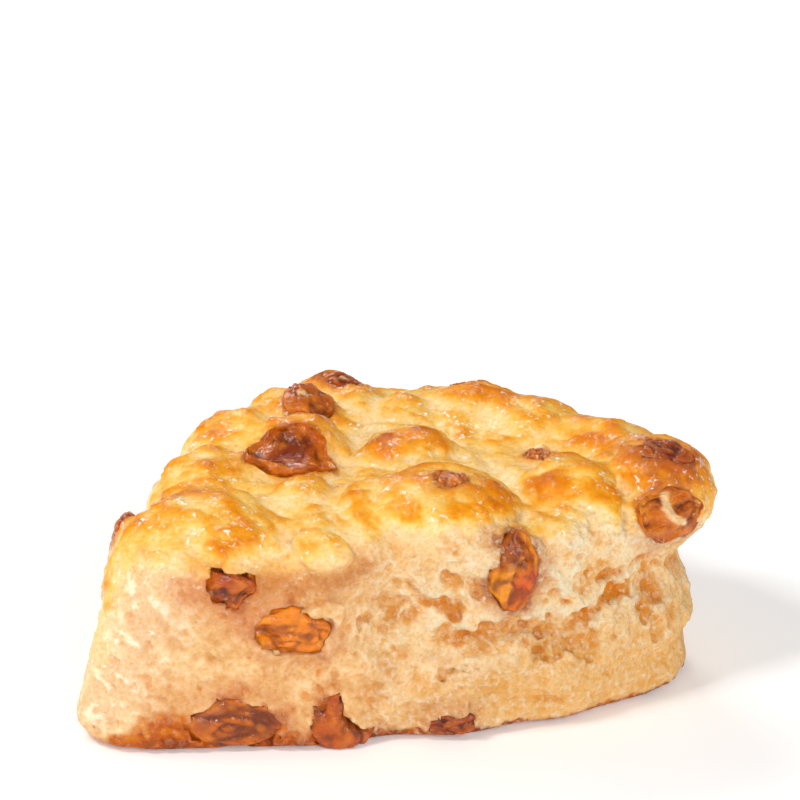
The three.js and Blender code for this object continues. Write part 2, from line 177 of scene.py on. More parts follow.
# the painted shadow on the front under the lip: points, width, strength
TONGUE_SHADE = [
    ([(-22, -31.4, 30.4), (-17.4, -31, 30), (-12, -31, 29.6)], 2.4, 1.0),
    ([(-12, -31, 29.6), (-7, -30, 30.4), (-5, -28.6, 32)], 2.4, 1.0),
]

# small lumps of dough: middle, half sizes
SCRAPS = [
    ((-11.6, -31.0, 25.4), (3.2, 1.3, 1.3)),
    ((-14.6, -31.0, 24.6), (1.7, 1.0, 0.8)),
    ((-9.6, -30.4, 24.0), (1.3, 1.2, 1.9)),
    ((10.8, -27.5, 5.8), (1.7, 1.2, 1.2)),
    ((3.8, -24.6, 29.6), (2.2, 1.6, 3.0)),
    ((28.4, -21.8, 12.6), (1.1, 1.0, 0.9)),
]


def smooth(low, high, v):
    """0 below low, 1 above high, and a soft step between."""
    t = np.clip((v - low) / (high - low), 0, 1)
    return t * t * (3 - 2 * t)


def round_max(a, b, width):
    h = np.maximum(width - np.abs(a - b), 0) / width
    return np.maximum(a, b) + h * h * width / 4


def round_min(a, b, width):
    return -round_max(-a, -b, width)


def hump(v, middle, width):
    return np.exp(-(((v - middle) / width) ** 2))


def corner(i, j, k):
    s = np.sin(i * 127.1 + j * 311.7 + k * 74.7) * 43758.5453
    return s - np.floor(s)


def noise(x, y, z):
    """Smooth noise from -1 to 1 with one bump for each unit."""
    x, y, z = np.broadcast_arrays(x, y, z)
    cell = [np.floor(v) for v in (x, y, z)]
    part = [v - c for v, c in zip((x, y, z), cell)]
    part = [t * t * (3 - 2 * t) for t in part]
    total = 0
    for n in range(8):
        step = (n & 1, (n >> 1) & 1, n >> 2)
        weight = 1
        for axis in range(3):
            weight = weight * (part[axis] if step[axis] else 1 - part[axis])
        total = total + weight * corner(*(c + s for c, s in zip(cell, step)))
    return 2 * total - 1


def fuzz(x, y, z, size):
    """Noise of one grain size from two turned lattices, so that no grid shows."""
    a = noise((0.8 * x + 0.6 * z) / size, (0.6 * x - 0.8 * z + 0.3 * y) / size, (y + 0.4 * x) / size)
    b = noise((0.6 * x - 0.7 * y) / size + 9, (0.7 * x + 0.6 * y) / size, (z + 0.3 * y + 0.2 * x) / size)
    return 0.7 * (a + b)


def puffs(x, y, z):
    """Rounded clumps with sharp clefts between them, from -1 to 1."""
    return 2.2 * np.abs(noise(0.8 * x + 0.6 * z, y + 0.3 * x, 0.8 * z - 0.6 * x)) ** 0.8 - 1


def side_distance(side, x, y, z):
    (fx, fy), (tx, ty), bulge, lean, _ = side
    dx, dy = tx - fx, ty - fy
    chord = math.hypot(dx, dy)
    along = ((x - fx) * dx + (y - fy) * dy) / chord**2
    outside = ((x - fx) * dy - (y - fy) * dx) / chord
    return outside - bulge * np.maximum(4 * along * (1 - along), 0) + lean * z


def torn_swell(x, z):
    end = np.clip((x - 30) / 18, 0, 1)
    full = 1.2 * hump(z, 13, 7)
    return full - (1.6 + 1.6 * end) * hump(z, 24 - 3 * end, 4.5) - 1.6 * end * hump(z, 8.5, 2)


def crags(x, y, z):
    return 1.1 * noise(x / 9, y / 9, z / 6) + 0.6 * noise(x / 4.5 + 20, y / 4.5, z / 3.2)


def sides_apart(x, y, z):
    """The distance from each of the four sides, and from all of them together."""
    rough = torn_swell(x, z) + crags(x, y, z)
    d = [side_distance(s, x, y, z) - s[4] * rough if s[4] else side_distance(s, x, y, z) for s in SIDES]
    edge = TORN_START[0] + STEP_WAVE * noise(z / 7, 3.0, 0.0)
    step = TORN_STEP * np.clip((edge - x) / STEP_WIDTH, 0, 1)
    bend = round_max(d[0], d[1] - step, BEND_ROUND)
    end = round_max(bend, d[2], END_ROUND)
    return d, round_max(end, d[3], LEFT_ROUND + LEFT_ROUND_GROWTH * z)


def ball_distance(at, half, turn, x, y, z):
    c, s = math.cos(math.radians(turn)), math.sin(math.radians(turn))
    dx, dy = x - at[0], y - at[1]
    local = ((c * dx + s * dy) / half[0], (c * dy - s * dx) / half[1], (z - at[2]) / half[2])
    k0 = np.sqrt(sum(v * v for v in local))
    k1 = np.sqrt(sum((v / h) ** 2 for v, h in zip(local, half)))
    return k0 * (k0 - 1) / np.maximum(k1, 1e-9)


def from_line(a, b, x, y, z):
    """Distance from the straight line between two points."""
    v = [q - p for p, q in zip(a, b)]
    t = sum((c - p) * w for c, p, w in zip((x, y, z), a, v)) / sum(w * w for w in v)
    t = np.clip(t, 0, 1)
    return np.sqrt(sum((c - p - t * w) ** 2 for c, p, w in zip((x, y, z), a, v)))


VIEW_SQUEEZE = 0.8      # how much of the depth along the photo's view is left out


def flattened(p):
    """The points, moved together along the view of the photo."""
    p = np.asarray(p, float)
    return p - VIEW_SQUEEZE * (p @ VIEW_WAY)[..., None] * VIEW_WAY


def seen_flat(chains):
    """The chains, moved together in the same way."""
    return [([tuple(flattened(at)) for at in points], width, much) for points, width, much in chains]


def from_chain(points, x, y, z):
    """Distance from the nearest of the lines that join the points."""
    near = from_line(points[0], points[1], x, y, z)
    for a, b in zip(points[1:], points[2:]):
        near = np.minimum(near, from_line(a, b, x, y, z))
    return near


def along_chains(chains, x, y, z):
    """The largest depth that any of the chains gives at a point."""
    depth = np.zeros(np.shape(x))
    for points, width, most in chains:
        depth = np.maximum(depth, most * hump(from_chain(points, x, y, z), 0, width))
    return depth


def notches(x, y, z):
    """How far the dough is torn away at a point, with steep walls and a flat floor."""
    depth = np.zeros(np.shape(x))
    for points, width, most in HOLLOWS:
        near = from_chain(points, x, y, z)
        depth = np.maximum(depth, most * smooth(1.5 * width + 0.35, 0.5 * width, near))
    return depth


def folds(x, y, z):
    """How deep the folds that the solid has too are at a point."""
    return sum(depth * hump(from_line(a, b, x, y, z), 0, width) for a, b, width, depth in CREASES)


def unevenness(x, y, z):
    crust = np.clip((z - 28) / 8, 0, 1)
    broad = 0.5 * noise(x / 11 + 5, y / 11, z / 11)
    return broad + (0.2 + 0.5 * crust) * noise(x / 5.5, y / 5.5 + 9, z / 5.5)


# The raisins.
# middle, half sizes, tilt, turn, taper
RAISINS = {
    "raisin_crown_large": ((-18.4, 6.6, 37.4), (8, 6.8, 4.2), 30, -4, 0),
    "raisin_crown_back": ((-15.4, 26.4, 39.2), (4.6, 4.8, 3.2), 24, 10, 0),
    "raisin_rear_knob": ((-10.5, 42.5, 36.4), (3.8, 3.4, 2.4), 0, -15, 0),
    "raisin_left_edge": ((-44.8, -12, 29.4), (2.6, 4.6, 5), 24, 20, 0),
    "raisin_left_face_dark": ((-27.4, -29, 29.6), (5, 3.8, 4.2), -12, 8, 0),
    "raisin_left_face_gold": ((-18.4, -29, 21.6), (8, 3.4, 5), 0, -4, 0),
    "raisin_left_base": ((-27, -28.8, 5.2), (9, 4.4, 5.2), 0, 4, 0),
    "raisin_front_base": ((-9.8, -27.8, 5.6), (5.2, 4, 7), 0, 0, 0.4),
    "raisin_torn_amber": ((18.6, -22.4, 28.8), (4.6, 3.2, 6.6), -6, 20, 0),
    "raisin_torn_base": ((9.2, -25.6, 3.2), (4.4, 2.8, 2.8), 0, 5, 0),
    "raisin_right_end": ((45.6, -7.4, 32.2), (6.8, 3.8, 4.6), 8, 30, 0),
    "raisin_right_crown": ((44.5, 3.6, 38.4), (5.6, 5, 2.6), 0, -20, 0),
    "raisin_valley": ((24.2, 11, 36), (2.4, 3.4, 2.4), 20, 10, 0),
    "raisin_front_mound": ((8.6, -14.4, 40.8), (3.2, 2.8, 2), 10, -8, 0),
    "raisin_rear_right": ((12.5, 38.5, 37), (3.8, 3.2, 2.2), 0, 15, 0),
    "raisin_back_upper": ((31, 38.2, 25), (5.6, 3.4, 4.2), 0, -42, 0),
    "raisin_back_lower": ((9, 50.2, 12), (5, 3.2, 4), 0, -20, 0),
    "raisin_left_back": ((-38, 26, 18), (3.2, 6, 4.2), 8, 20, 0),
}
POCKET = 1.9            # how deep the dough is pressed in under a raisin
RIM_HEIGHT = 0.4        # how far it rises round one
# how amber a raisin's skin is, from 0 to 1, where it isn't all dark
AMBER = {
    "raisin_left_face_gold": 1.0,
    "raisin_torn_amber": 0.75,
    "raisin_right_end": 0.35,
    "raisin_crown_back": 0.35,
    "raisin_crown_large": 0.3,
    "raisin_left_base": 0.3,
    "raisin_valley": 0.5,
    "raisin_front_mound": 0.55,
    "raisin_left_edge": 0.3,
}
# raisins with a hollow in the middle: its place on the unit ball, how deep, how wide
DIMPLES = {
    "raisin_crown_large": ((0.0, -0.2, 1.0), 0.55, 0.68),
    "raisin_right_end": ((0.2, -1.0, 0.1), 0.3, 0.6),
}
# pale dough stuck to raisins: points, width, strength
RESIDUE_CHAINS = [
    ([(44.9, -9.6, 36.6), (45.1, -10.6, 34.8), (45.9, -10.8, 33.2), (48.3, -10.3, 32)], 1.0, 1.1),
    ([(-20.5, 5.2, 41), (-18.6, 4.6, 41.2)], 0.8, 0.8),
    ([(-14.4, 9, 40.6), (-13.4, 5, 40), (-13, 2.4, 39)], 0.7, 0.7),
    ([(-17.4, 3.2, 40.2), (-15.4, 2.4, 39.6)], 0.5, 0.8),
    ([(-17.5, 24.6, 42), (-14.5, 23.8, 42)], 0.7, 0.6),
    ([(-11, 40, 38.4), (-8, 40.4, 38.4)], 0.9, 0.6),
]
# where the dough covers part of a raisin: middle, half sizes
COVERS = [
    ((-26.4, -30, 35.2), (6.4, 6, 3.1)),
    ((-24.2, -30, 33.2), (2.6, 6, 1.8)),
    ((-4.6, -30, 9.8), (4.8, 6, 7.2)),
    ((-15.2, -31, 10), (1.6, 6, 5)),
    ((-11.0, -31, 26.4), (4.6, 6, 2.8)),
    ((-33.4, -31, 9.6), (4, 6, 2.6)),
    ((-21, -31, 10), (4, 6, 2.2)),
    ((13.6, -27, 31.8), (1.6, 5, 3)),
]
# folds pressed into raisins: points, width, depth
RAISIN_FOLDS = [
    ([(20.6, -24.6, 31.4), (19.4, -25.6, 28.6), (18.4, -25.8, 23.6)], 0.5, 1.0),
    ([(15, -24.6, 31.6), (18.4, -25.4, 31.0), (22.4, -23.4, 31.8)], 0.5, 0.8),
    ([(15.6, -25.4, 27.6), (17, -25.8, 25.6)], 0.4, 0.6),
    ([(-13.2, -31, 10.6), (-11.4, -31, 6), (-9.4, -30.6, 2)], 0.5, 0.8),
    ([(-23.4, -31.8, 22.6), (-19, -31.8, 20.4), (-14.4, -31.4, 20)], 0.5, 0.6),
    ([(-31, -31.8, 29.8), (-27.6, -32, 28.4), (-23.8, -31.8, 29.4)], 0.5, 0.7),
]
# how far the open side of a raisin stands over the dough in the middle and at its edge
LIFT = {
    "raisin_crown_large": (0.3, 1.7),
    "raisin_right_end": (-0.3, 0.9),
    "raisin_left_face_gold": (0.5, 0.3),
    "raisin_torn_amber": (1.5, 0.9),
    "raisin_crown_back": (0.9, 0.4),
    "raisin_left_edge": (1.7, 1.0),
    "raisin_left_base": (0.2, 0.0),
}
USUAL_LIFT = (0.35, 0.2)


def raisin_axes(tilt, turn):
    t, u = math.radians(tilt), math.radians(turn)
    lean = np.array([[1, 0, 0], [0, math.cos(t), -math.sin(t)], [0, math.sin(t), math.cos(t)]])
    spin = np.array([[math.cos(u), -math.sin(u), 0], [math.sin(u), math.cos(u), 0], [0, 0, 1]])
    return spin @ lean


def raisin_size(ball, at):
    """How far a raisin reaches in each direction, as a share of its half sizes."""
    return 1 + WRINKLE * noise(*(ball.T * 2.2 + np.array(at)[:, None]))


def raisin_distance(name, p):
    """Roughly how far points lie outside a raisin."""
    at, half, tilt, turn, taper = RAISINS[name]
    half = np.array(half, float)
    local = (p - np.array(at)) @ raisin_axes(tilt, turn) / half
    reach = np.maximum(np.linalg.norm(local, axis=1), 1e-9)
    ball = local / reach[:, None]
    local = local / raisin_size(ball, at)[:, None]
    local[:, 0] /= np.maximum(1 - taper * ball[:, 2], 0.2)
    k0 = np.linalg.norm(local, axis=1)
    k1 = np.linalg.norm(local / half, axis=1)
    return k0 * (k0 - 1) / np.maximum(k1, 1e-9)


def ragged(x, y, z):
    """Where across and up the hollows and lips are looked up, which makes their edges ragged."""
    across = 0.9 * fuzz(x, y, z, 3.0) + 0.5 * fuzz(x, y, z, 1.3)
    up = 0.9 * fuzz(x + 7, y, z, 3.0) + 0.5 * fuzz(x + 7, y, z, 1.3)
    return x + across, z + up


def covered(x, y, z):
    """How much the dough covers a raisin at a point, from 0 to 1."""
    share = np.zeros(np.shape(x))
    rag = 0.7 * fuzz(x, y, z, 1.8)
    for at, half in COVERS:
        share = np.maximum(share, smooth(0.5, -0.5, ball_distance(at, half, 0, x, y, z) + rag))
    return share


def form_distance(x, y, z):
    """Roughly how far a point lies outside the dough before the raisins press into it."""
    top = z - CRUMB_TOP - CRUMB_DOME * (1 - (x * x + y * y) / 2500)
    soft = np.clip((-x - 22) / 20, 0, 1) * np.clip((y + 34) / 14, 0, 1)
    d = round_max(sides_apart(x, y, z)[1], top, TOP_ROUND + (LEFT_TOP_ROUND - TOP_ROUND) * soft)
    for at, half, turn, blend in MOUNDS:
        d = round_min(d, ball_distance(at, half, turn, x, y, z), blend)
    d = d + folds(x, y, z) - unevenness(x, y, z)
    wx, wz = ragged(x, y, z)
    d = d + along_chains(CRUST_FOLDS, wx, y, wz) - along_chains(LIPS, wx, y, wz)
    d = d + notches(wx, y, wz) * (0.8 + 0.5 * fuzz(x, y, z, 1.7))
    return round_max(d, -z, BASE_ROUND + TIP_BASE_ROUND * np.clip((-40 - x) / 12, 0, 1))


def ragged_gap(x, y, z):
    """Distance from the nearest raisin, with the ragged edge that the dough has there."""
    p = np.stack([np.ravel(v) for v in np.broadcast_arrays(x, y, z)], 1)
    gap = np.full(len(p), 9.0)
    for name, (at, half, *_) in RAISINS.items():
        near = np.flatnonzero(((p - np.array(at)) ** 2).sum(1) < (max(half) + 4) ** 2)
        if len(near):
            gap[near] = np.minimum(gap[near], raisin_distance(name, p[near]))
    near = np.flatnonzero(gap < 4)
    rag = 0.5 * fuzz(*p[near].T, 2.4) + 0.25 * fuzz(*p[near].T, 1.1)
    gap[near] += np.maximum(rag, 0) + 5.0 * covered(*p[near].T)
    return gap.reshape(np.shape(x))


def dough_distance(x, y, z):
    """Roughly how far a point lies outside the dough, negative inside."""
    gap = ragged_gap(x, y, z)
    d = form_distance(x, y, z) + POCKET * smooth(0.0, -0.7, gap)
    d = d - RIM_HEIGHT * hump(gap, 0.5, 0.7) * smooth(1, 3, z)
    rags = 0.5 * noise(x / 1.4, y / 1.4, z / 1.4)
    for at, half in SCRAPS:
        d = round_min(d, ball_distance(at, half, 0, x, y, z) + rags, 0.8)
    return np.maximum(d, -z)


# The skin of the dough.
NET_STEP = 1.36         # spacing of the coarse net
FRONT_FACING = 0.54     # how squarely a face looks to the front for the finest net
NET_LOW = (-59.0, -38.0, -2.04)
NET_HIGH = (59.0, 61.0, 45.0)
BASE_BAND = 0.4         # the underside below this height keeps the coarse net


def surface_net(field, low, high, step):
    """Corners and quads of the net where the field changes sign."""
    axes = [np.arange(lo, hi + step, step) for lo, hi in zip(low, high)]
    f = field(*np.meshgrid(*axes, indexing="ij"))
    shape = tuple(n - 1 for n in f.shape)
    total = np.zeros((int(np.prod(shape)), 3))
    count = np.zeros(int(np.prod(shape)))
    unit = np.eye(3, dtype=int)
    edges = []
    for axis in range(3):
        first = [slice(None)] * 3
        last = [slice(None)] * 3
        first[axis] = slice(0, -1)
        last[axis] = slice(1, None)
        a, b = f[tuple(first)], f[tuple(last)]
        at = np.argwhere((a < 0) != (b < 0))
        va, vb = a[tuple(at.T)], b[tuple(at.T)]
        place = at + unit[axis] * (va / (va - vb))[:, None]
        u, v = unit[(axis + 1) % 3], unit[(axis + 2) % 3]
        ring = np.stack([at, at - u, at - u - v, at - v], 1)
        flat = np.ravel_multi_index(tuple(np.moveaxis(ring, 2, 0)), shape)
        np.add.at(total, flat.ravel(), np.repeat(place, 4, 0))
        np.add.at(count, flat.ravel(), 1)
        edges.append(np.where((va < 0)[:, None], flat, flat[:, ::-1]))
    used = np.flatnonzero(count)
    number = np.full(count.shape, -1)
    number[used] = np.arange(len(used))
    points = total[used] / count[used][:, None] * step + np.array(low)
    return points, number[np.concatenate(edges)]


def slopes(field, p, reach=0.12):
    """The field and its gradient at points."""
    out = []
    for axis in range(3):
        d = np.zeros(3)
        d[axis] = reach
        out.append((field(*(p + d).T) - field(*(p - d).T)) / (2 * reach))
    return field(*p.T), np.stack(out, 1)


def settle(field, p, rounds):
    """Moves points onto the surface."""
    for _ in range(rounds):
        f, g = slopes(field, p)
        move = -f[:, None] * g / np.maximum((g * g).sum(1), 0.3)[:, None]
        length = np.linalg.norm(move, axis=1, keepdims=True)
        p = p + move * np.minimum(1, 0.5 / np.maximum(length, 1e-9))
        p[:, 2] = np.maximum(p[:, 2], 0)
    return p


def split_faces(points, faces, chosen):
    """Each chosen face, a quad, becomes four. Its neighbours take in the new corners."""
    fine = np.array([f for f, c in zip(faces, chosen) if c])
    pairs = np.sort(np.stack([fine, np.roll(fine, -1, 1)], 2).reshape(-1, 2), 1)
    unique, back = np.unique(pairs, axis=0, return_inverse=True)
    first_mid = len(points)
    first_centre = first_mid + len(unique)
    mid = back.reshape(-1, 4) + first_mid
    centre = np.arange(len(fine)) + first_centre
    made = [np.stack([fine[:, k], mid[:, k], centre, mid[:, k - 1]], 1) for k in range(4)]
    made = np.concatenate(made).tolist()
    lookup = {tuple(k): first_mid + i for i, k in enumerate(unique.tolist())}
    for face in (f for f, c in zip(faces, chosen) if not c):
        loop = []
        for a, b in zip(face, face[1:] + face[:1]):
            loop.append(a)
            between = lookup.get((min(a, b), max(a, b)))
            if between is not None:
                loop.append(between)
        made.append(loop)
    return np.concatenate([points, points[unique].mean(1), points[fine].mean(1)]), made


def dough_skin():
    """Points and faces of the dough, finest on the two sides that face the front."""
    points, quads = surface_net(dough_distance, NET_LOW, NET_HIGH, NET_STEP)
    points = settle(dough_distance, points, 2)
    above = ~(points[quads][:, :, 2] < BASE_BAND).all(1)
    points, faces = split_faces(points, quads.tolist(), above)
    points = settle(dough_distance, points, 1)
    chosen = []
    for face in faces:
        c = points[face]
        across = np.cross(c[2] - c[0], c[3 % len(c)] - c[1])
        facing = -across[1] / max(np.linalg.norm(across), 1e-9)
        front = facing > FRONT_FACING and c[:, 1].max() < 5 and c[:, 2].min() > BASE_BAND
        chosen.append(len(face) == 4 and front)
    points, faces = split_faces(points, faces, chosen)
    return settle(dough_distance, points, 2), faces


def ring_rise(field, p, normal, radius):
    """Mean of the field on a ring round each point, which is positive on a crest."""
    helper = np.where(np.abs(normal[:, 2:]) < 0.8, [[0.0, 0.0, 1.0]], [[1.0, 0.0, 0.0]])
    u = np.cross(normal, helper)
    u /= np.linalg.norm(u, axis=1, keepdims=True)
    v = np.cross(normal, u)
    total = 0
    for k in range(8):
        a = k * math.pi / 4
        total = total + field(*(p + radius * (math.cos(a) * u + math.sin(a) * v)).T)
    return total / 8


# The colours of the dough.
def linear(rgb):
    c = np.array(rgb) / 255.0
    return np.where(c <= 0.04045, c / 12.92, ((c + 0.055) / 1.055) ** 2.4)


PALE = linear((252, 219, 158))
CREAM = linear((248, 200, 98))
GOLD = linear((242, 168, 40))
ORANGE = linear((234, 142, 8))
BROWN = linear((190, 92, 8))
SIDE_SHADE = linear((210, 148, 86))
SIDE = linear((229, 181, 122))
SIDE_BRIGHT = linear((248, 214, 164))
# painted highlight of the left shoulder
SHOULDER_HIGHLIGHT_PAINT = linear((255, 238, 208))
CRUMB_BRIGHT = linear((255, 238, 204))
CRUMB = linear((254, 221, 168))
# painted shade of the crumb's hollows
CAVITY_SHADE_PAINT = linear((234, 168, 94))
# painted shadow of the crumb under the crust's overhang
RIM_SHADOW_PAINT = linear((226, 164, 108))
GOLDEN_CRUMB = linear((246, 186, 100))
# painted shade of pits and pores
PIT_SHADE_PAINT = linear((228, 142, 42))
BASE_LIGHT = linear((188, 86, 17))
BASE_DARK = linear((140, 58, 16))
BASE_GOLD = linear((212, 126, 34))
SYRUP = linear((206, 132, 82))
SYRUP_DARK = linear((166, 84, 38))
# painted shadow under the lip
TONGUE_SHADOW_PAINT = linear((188, 108, 40))

SIDE_BLEND = 1.6        # how softly the looks of one side pass into the next, in mm

# brown patches of the crust: middle, reach, strength
PATCHES = [
    ((-22.2, -20.7, 37.3), 6, 0.35),
    ((-30, -12, 38), 6, 0.15),
    ((13.8, -15.3, 40.9), 5, 0.55),
    ((17, -17.6, 39.2), 4, 0.45),
    ((23.4, -9.9, 36), 3.5, 0.6),
    ((24.6, -13.4, 35), 3, 0.4),
    ((0.4, 11.9, 39.1), 4, 0.35),
    ((34.1, -5.2, 39.4), 5, 0.2),
    ((27.2, -7.7, 38.8), 4, 0.3),
    ((44.5, 0.3, 40.2), 5, 0.55),
    ((48.5, -0.1, 39), 4, 0.55),
    ((42.5, 4.6, 40.2), 4, 0.4),
    ((49.6, 5, 36), 4, 0.4),
    ((22.6, 11.4, 38), 2.6, 0.45),
    ((-33, 20, 38), 5, 0.2),
    ((-26, 8, 40), 5, 0.25),
    ((-15, 16, 41), 5, 0.25),
    ((14, 33, 40), 6, 0.3),
    ((33, 20, 38), 6, 0.3),
    ((-17, 34, 40), 5, 0.3),
    ((-12.5, -27, 35), 6, -0.45),
    ((-33, -25, 33.5), 6, -0.3),
    ((-10, -20, 37.5), 5, -0.2),
    ((29, -18, 33), 5, -0.5),
    ((2, -26, 35), 6, -0.25),
    ((16, 10, 36), 6, -0.35),
    ((14.5, 20, 36.5), 6, -0.35),
    ((-9, 8, 36), 3, -0.3),
    ((-5, 30, 36), 3, -0.3),
]


def mix(a, b, t):
    t = np.asarray(t)[..., None]
    return a * (1 - t) + b * t


def ramp(t, stops):
    """Colour from a list of (place, colour)."""
    out = np.broadcast_to(stops[0][1], np.shape(t) + (3,)).copy()
    for (a, ca), (b, cb) in zip(stops, stops[1:]):
        s = np.clip((t - a) / (b - a), 0, 1)
        out = np.where((t >= a)[..., None], mix(ca, cb, s), out)
    return out


# the height at which the crust ends over the torn side, and that of the browned band along
# the foot of the front: places along x, heights there
CRUST_RIM = (
    (-8, 18, 24, 31, 42, 50),
    (36.4, 36.0, 33.6, 34.4, 31.6, 29.5),
)
FOOT_BAND = (
    (-56, -50, -43, -36, -20, -4, 4, 11, 20, 50),
    (1.2, 2.0, 5.0, 6.5, 5.5, 2.4, 2.0, 3.0, 1.6, 1.2),
)
BACK_BAND = 2.2         # its height along the foot of the other sides

# syrup in the dough beside raisins: middle, half sizes, strength
SOAKS = [
    ((-33.0, -31.5, 30.0), (4.6, 5, 3.6), 1.0),
    ((-23.6, -31, 24.6), (3.4, 4, 3), 0.9),
    ((-27, -31, 9), (9, 4, 3.4), 0.7),
]

# colours at values of the browning, of the crumb's height, and of the other mottled parts;
# the crumb's low end is painted shade for its hollows and its high end painted light for its lips
TOAST_STOPS = [(0.0, PALE), (0.34, CREAM), (0.58, GOLD), (0.85, ORANGE), (1.25, BROWN)]
CRUMB_STOPS = [(-1.5, PIT_SHADE_PAINT), (-0.8, CAVITY_SHADE_PAINT), (-0.05, CRUMB), (0.8, CRUMB_BRIGHT)]
SIDE_STOPS = [(-0.9, SIDE_SHADE), (0.0, SIDE), (0.8, SIDE_BRIGHT)]
BASE_STOPS = [(-0.9, BASE_GOLD), (-0.3, BASE_LIGHT), (0.5, BASE_DARK)]
UNDERSIDE_STOPS = [(-0.9, BASE_LIGHT), (0.9, BASE_DARK)]
USUAL_HEAT = 0.42       # how browned the crust is where nothing changes it


def dough_looks(p, normal, wide, near, raisin_gap):
    """The fine relief, the colour, the glaze and the crumb's share of each point of the dough.

    wide and near say how far the point stands out of what lies round it.
    """
    x, y, z = p.T
    apart = np.stack(sides_apart(x, y, z)[0])
    share = np.exp((apart - apart.max(0)) / SIDE_BLEND)
    face, torn_side, rear, left = share / share.sum(0)
    ripple = 0.9 * noise(x / 3, y / 3, z / 3) + 0.6 * noise(x / 1.4, y / 1.4, z / 1.4)
    top_facing = smooth(0.15, 0.75, normal[:, 2])

    rim = np.interp(x, *CRUST_RIM)
    crust = torn_side * smooth(rim - 1.4, rim + 1.4, z + 1.2 * ripple)
    crust = crust + face * smooth(27, 36, z + 1.6 * ripple)
    crust = crust + rear * smooth(26, 32, z + 1.6 * ripple)
    crust = crust + left * smooth(2, 22, z + 1.6 * ripple)
    crust = np.maximum(crust, smooth(0.55, 0.9, normal[:, 2]) * smooth(27, 32, z))
    torn = (torn_side * (0.2 + 0.8 * smooth(-9, 0, x)) + 0.45 * rear) * (1 - crust)
    foot = np.interp(x, *FOOT_BAND)
    band = foot * face + foot * torn_side + BACK_BAND * (rear + left)
    rise = z + 0.45 * band * noise(x / 5, y / 5, 0.0) + 0.3 * band * noise(x / 1.6, y / 1.6, z / 1.6)
    base = smooth(1.15 * band, 0.5 * band, rise)

    clumps = puffs(x / 5.2, y / 5.2, z / 3.9)
    web_wide = 0.7 - 2.2 * np.abs(fuzz(x, y, 1.25 * z, 3.0))
    web = 0.7 - 2.2 * np.abs(fuzz(x + 5, y, 1.2 * z, 1.6))
    fine = fuzz(x, y, z, 0.75)
    grit = fuzz(x, y, z, 1.2)
    wx, wz = ragged(x, y, z)
    hollow = notches(wx, y, wz) / 1.6
    lip = along_chains(LIPS, wx, y, wz)
    flock = fuzz(x + 4, y, 1.4 * z, 6.5)
    pits = smooth(0.3, 0.62, fuzz(x, y, 1.2 * z, 1.7)) * smooth(-0.15, 0.35, flock)
    pores = smooth(0.45, 0.75, fuzz(1.3 * x, y, z, 1.6))
    calm = smooth(24.5, 28, z) * smooth(22, 27, x)
    low_right = smooth(12, 8, z) * smooth(6, 14, x)
    rough = (1 - 0.6 * calm) * (1 - 0.6 * low_right)
    torn_relief = rough * (0.26 * clumps + 0.34 * web_wide + 0.26 * web - 0.7 * pits)
    torn_relief = torn_relief + 0.16 * grit + 0.1 * fine
    smooth_relief = 0.3 * fuzz(x, y, z, 4.4) + 0.16 * fuzz(x, y, 0.7 * z, 1.9)
    smooth_relief = smooth_relief - 0.5 * pores + 0.1 * grit + 0.08 * fine
    along_left = smooth(0, -12, x)
    streaks = (1 - along_left) * fuzz(x, y, z, 3.4)
    streaks = streaks + along_left * noise(x / 8, y / 2.2 + 0.15 * x, z / 2.4)
    wrinkles = 0.7 - 2.4 * np.abs(fuzz(0.7 * x, y, z, 3.6))
    small_wrinkles = 0.7 - 2.4 * np.abs(fuzz(0.6 * x + 8, y, z, 1.7))
    crust_relief = 0.36 * streaks + 0.34 * wrinkles + 0.16 * small_wrinkles + 0.14 * grit + 0.07 * fine
    relief = torn * torn_relief + (1 - crust) * (1 - torn) * smooth_relief + crust * crust_relief
    relief = relief * smooth(0.2, 2.0, z) + 0.3 * smooth(0.2, 1.5, z) * base * (web + grit)

    # browning of the crust
    patch = sum(s * hump(np.linalg.norm(p - np.array(at), axis=1), 0, r) for at, r, s in PATCHES)
    crest = np.clip(wide, -1.2, 1.0)
    close = np.clip(near / 0.35, -1.5, 1.2)
    blotch = fuzz(x + 3, y, z, 6) + 0.7 * fuzz(x, y + 5, z, 2.8)
    heat = USUAL_HEAT + 0.12 * crest + 0.14 * close + 0.65 * patch + 0.3 * blotch
    heat = heat + 0.24 * streaks + 0.2 * wrinkles + 0.14 * small_wrinkles + 0.14 * grit + 0.12 * fine
    heat = heat + 0.08 * smooth(30, 40, z) - 0.25 * (1 - top_facing)
    heat = heat + 0.12 * smooth(38, 48, x) * smooth(33, 37, z)
    heat = heat - 0.12 * smooth(-14, -26, x) * smooth(36, 32, z)
    heat = heat - 0.3 * torn_side * smooth(3.5, 0.5, z - rim)
    toast = ramp(heat, TOAST_STOPS)

    # crumb of the torn side: its own mottled tone, with painted shade in hollows, pits and dips
    # and painted light on lips and rises
    height = 0.5 * web_wide + 0.4 * web + 0.3 * grit + 0.25 * fine + 0.35 * close + 0.15 * crest
    height = height - 0.5 * hollow + 0.4 * lip + 0.35 * flock
    crumb = ramp(height, CRUMB_STOPS)
    low = smooth(22, 10, z) * smooth(4, 24, x)
    golden = smooth(-0.2, 0.5, fuzz(x + 11, y, 1.4 * z, 5) + 0.4 * fuzz(x, y, z, 1.8))
    crumb = mix(crumb, GOLDEN_CRUMB, 0.55 * np.clip(0.6 * golden + low, 0, 1))
    # painted shade in the pits and hollows of the crumb
    crumb = mix(crumb, PIT_SHADE_PAINT, np.clip(0.8 * rough * pits + 0.7 * hollow * (0.6 + fine), 0, 0.85))
    # painted shadow: the crumb just under the crust's overhang is darkened as if shaded by it
    painted_rim_shadow = torn_side * hump(z, rim - 3.5, 2.6) * smooth(26, 16, x)
    crumb = mix(crumb, RIM_SHADOW_PAINT, 0.2 * painted_rim_shadow)
    crumb = mix(crumb, GOLDEN_CRUMB, 0.42 * smooth(18, 9, z))
